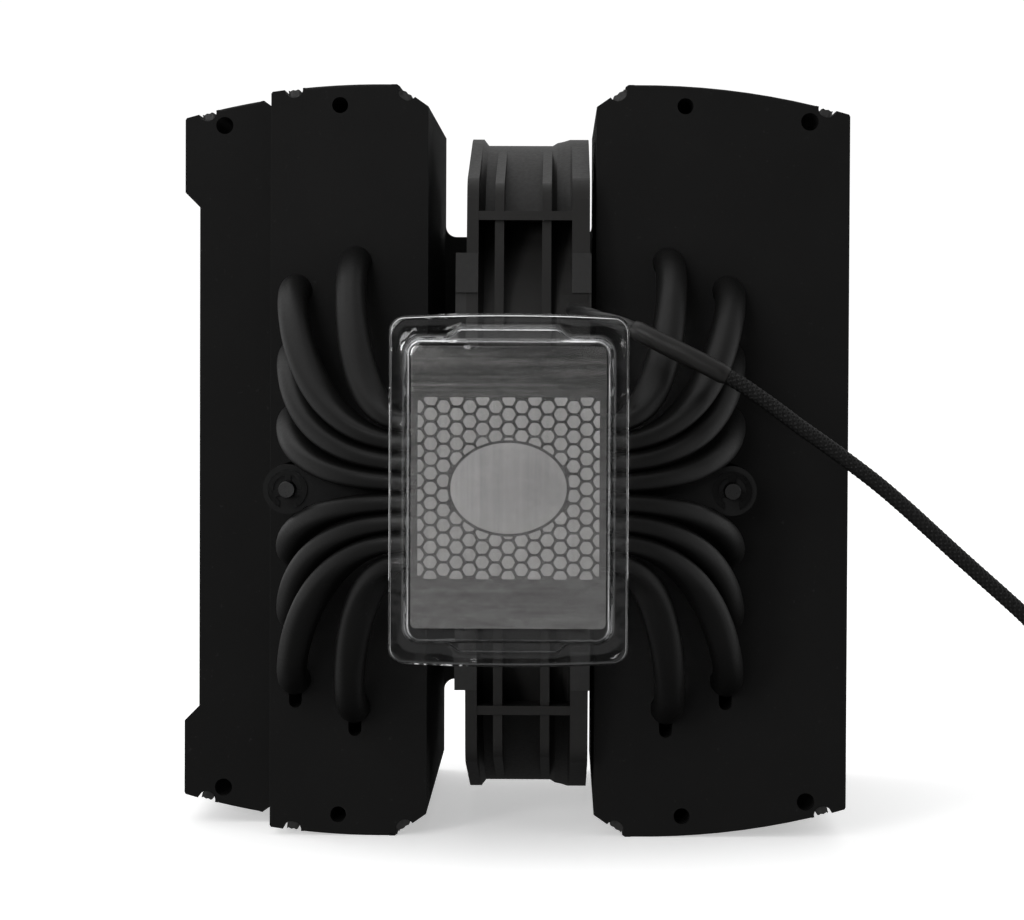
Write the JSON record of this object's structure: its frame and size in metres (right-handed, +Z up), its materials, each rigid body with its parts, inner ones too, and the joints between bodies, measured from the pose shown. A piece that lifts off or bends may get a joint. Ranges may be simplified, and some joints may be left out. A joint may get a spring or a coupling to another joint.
{
  "type": "tower air cooler for a processor",
  "caption": "Black air cooler for a processor: fin stacks on bent heat pipes with a fan between them, spring screws on a crossbar, a clear base cover, a top cover and a sleeved fan cable.",
  "frame": {"origin": "centre of the bottom of the object as it lies on the side edges of its fins, without the fan cable", "axes": "+Z up from the table, +Y from the contact face to the top cover, +X from the left stack with the cut fins to the right stack"},
  "size_m": [0.2196, 0.1656, 0.1498],
  "materials": {
    "clear": "clear vacuum-formed sheet",
    "paste": "matt grey printed paste",
    "plated": "ground and nickel plated",
    "block": "nickel plated",
    "pipe": "satin black coating",
    "fin": "matt black coated aluminium",
    "cover": "fine textured black",
    "bar": "satin black",
    "steel": "black nickel",
    "spring_steel": "bright wire",
    "clip_steel": "blackened spring steel",
    "fan_plastic": "fine moulded texture",
    "pad_rubber": "matt",
    "rotor_plastic": "satin",
    "yoke_steel": "zinc plated",
    "magnet": "bonded ferrite",
    "bearing_brass": "sintered",
    "copper_wire": "enamelled copper wire",
    "board": "solder mask",
    "label": "blank foil sticker",
    "braid": "woven black sleeve",
    "shrink": "heat-shrink tube",
    "plug_plastic": "moulded nylon"
  },
  "bodies": {
    "cooler": {"thermal_paste": "paste", "base_plate": "plated", "base_block": "block", "heat_pipe_1": "pipe", "heat_pipe_2": "pipe", "heat_pipe_3": "pipe", "heat_pipe_4": "pipe", "heat_pipe_5": "pipe", "heat_pipe_6": "pipe", "heat_pipe_7": "pipe", "heat_pipe_8": "pipe", "left_cut_fins": "fin", "left_fins": "fin", "right_fins": "fin", "crossbar": "bar", "crossbar_screws": "steel", "left_spring": "spring_steel", "right_spring": "spring_steel", "fan_frame": "fan_plastic", "fan_pads": "pad_rubber", "fan_bearing": "bearing_brass", "stator_core": "yoke_steel", "stator_coils": "copper_wire", "fan_circuit_board": "board", "hub_label": "label", "fan_lead": "braid", "heat_shrink": "shrink", "fan_cable": "braid", "cable_coil": "braid", "cable_tail": "braid", "fan_connector": "plug_plastic"},
    "rotor": {"fan_rotor": "rotor_plastic", "rotor_shaft": "steel", "rotor_yoke": "yoke_steel", "rotor_magnet": "magnet", "shaft_clip": "steel"},
    "clear_cover": {"protective_cover": "clear"},
    "lid": {"top_cover": "cover"},
    "left_push": {"left_washer": "steel"},
    "left_screw": {"left_mounting_screw": "steel", "left_e_clip": "clip_steel"},
    "right_push": {"right_washer": "steel"},
    "right_screw": {"right_mounting_screw": "steel", "right_e_clip": "clip_steel"}
  },
  "joints": [
    {"name": "rotor_spin", "type": "hinge", "parent": "cooler", "child": "rotor", "pos_m": [0.0033, 0.0102, 0.07315], "axis": [1, 0, 0], "continuous": true},
    {"name": "clear_cover_off", "type": "slide", "parent": "cooler", "child": "clear_cover", "axis": [0, -1, 0], "range_m": [0, 0.03]},
    {"name": "top_cover_off", "type": "slide", "parent": "cooler", "child": "lid", "axis": [0, 1, 0], "range_m": [0, 0.03]},
    {"name": "left_screw_press", "type": "slide", "parent": "cooler", "child": "left_push", "axis": [0, -1, 0], "range_m": [0, 0.004], "stiffness_N_per_m": 1500, "springref_m": -0.002, "deforming": ["left_spring"]},
    {"name": "left_screw_turn", "type": "hinge", "parent": "left_push", "child": "left_screw", "pos_m": [-0.0429, -0.0628, 0.0701], "axis": [0, -1, 0], "continuous": true},
    {"name": "right_screw_press", "type": "slide", "parent": "cooler", "child": "right_push", "axis": [0, -1, 0], "range_m": [0, 0.004], "stiffness_N_per_m": 1500, "springref_m": -0.002, "deforming": ["right_spring"]},
    {"name": "right_screw_turn", "type": "hinge", "parent": "right_push", "child": "right_screw", "pos_m": [0.0429, -0.0628, 0.0701], "axis": [0, -1, 0], "continuous": true}
  ]
}
